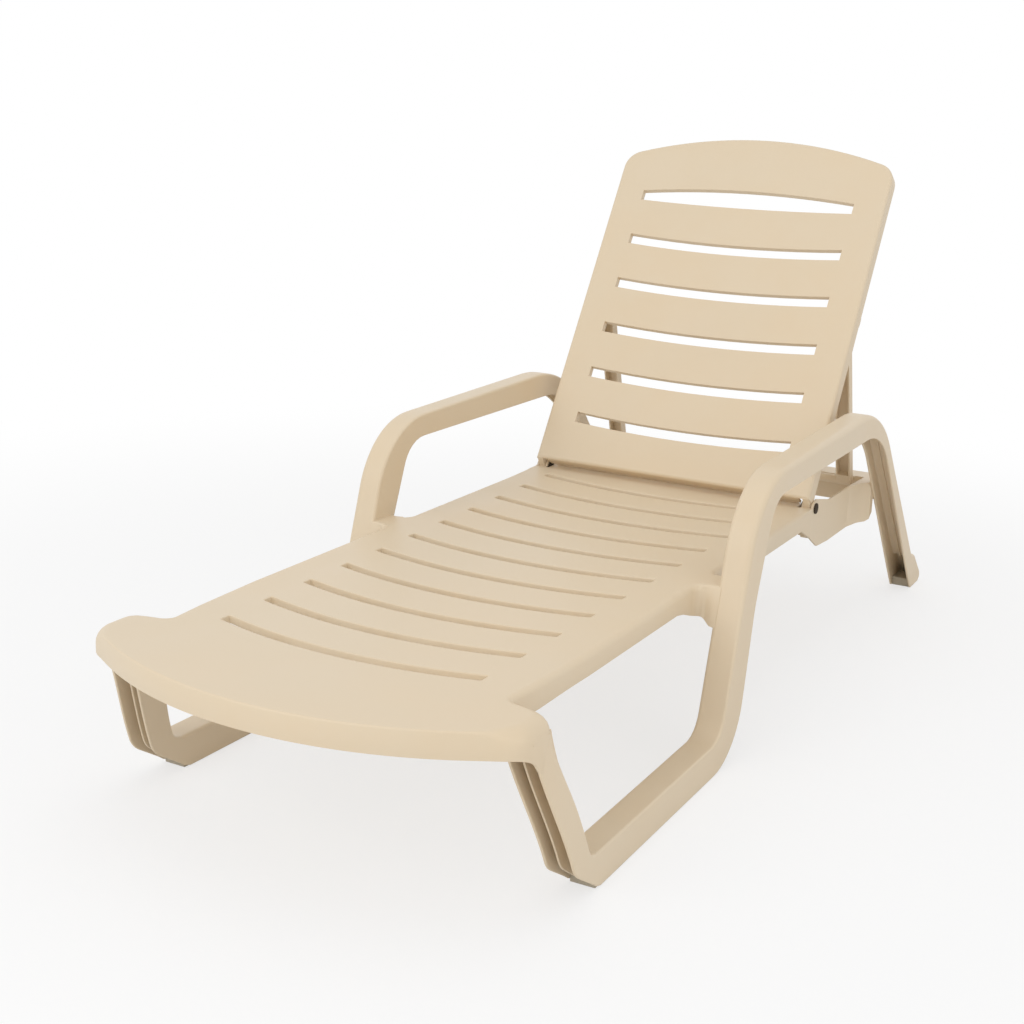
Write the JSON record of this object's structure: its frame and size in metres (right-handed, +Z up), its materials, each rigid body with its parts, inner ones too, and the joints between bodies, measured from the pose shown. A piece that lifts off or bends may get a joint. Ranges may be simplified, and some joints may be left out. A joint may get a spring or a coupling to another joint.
{
  "type": "reclining sun lounger",
  "caption": "Beige moulded resin sun lounger with armrests, curved deck slots and a slatted backrest that reclines on a folding prop.",
  "frame": {"origin": "on the ground, at the middle of the footprint", "axes": "+Z up, +Y from the foot end to the head end, +X to the right of a person lying on the lounger"},
  "size_m": [0.7168, 1.8073, 0.8813],
  "materials": {
    "resin": "satin moulded resin, warm beige",
    "pad": "matt grey beige",
    "pin": "dark brown"
  },
  "bodies": {
    "base": {"seat_deck": "resin", "deck_ribs": "resin", "foot_end_panel": "resin", "rear_cross_beam": "resin", "front_leg_left": "resin", "front_leg_right": "resin", "ground_runner_left": "resin", "ground_runner_right": "resin", "arm_post_left": "resin", "arm_post_right": "resin", "armrest_left": "resin", "armrest_right": "resin", "rear_leg_left": "resin", "rear_leg_right": "resin", "arm_bridge_left": "resin", "arm_bridge_right": "resin", "rear_rail_left": "resin", "rear_rail_right": "resin", "rear_bridge_left": "resin", "rear_bridge_right": "resin", "front_foot_pad_left": "pad", "front_foot_pad_right": "pad", "rear_foot_pad_left": "pad", "rear_foot_pad_right": "pad", "hinge_pin_left": "pin", "hinge_pin_right": "pin", "hinge_clip_left": "pin", "hinge_clip_right": "pin"},
    "backrest": {"backrest_panel": "resin", "prop_pin_left": "pin", "prop_pin_right": "pin"},
    "prop": {"prop_upper_bar": "resin", "prop_lower_bar": "resin", "prop_leg_left": "resin", "prop_leg_right": "resin"}
  },
  "joints": [
    {"name": "backrest_recline", "type": "hinge", "parent": "base", "child": "backrest", "pos_m": [0, 0.3657, 0.2628], "axis": [1, 0, 0], "range_deg": [-58.17, 0]},
    {"name": "prop_swing", "type": "hinge", "parent": "backrest", "child": "prop", "pos_m": [0, 0.5487, 0.5765], "axis": [1, 0, 0], "range_deg": [-48.2, 0]}
  ],
  "couplings": [
    {"joint": "prop_swing", "follows": "backrest_recline", "ratio": 0.826}
  ]
}
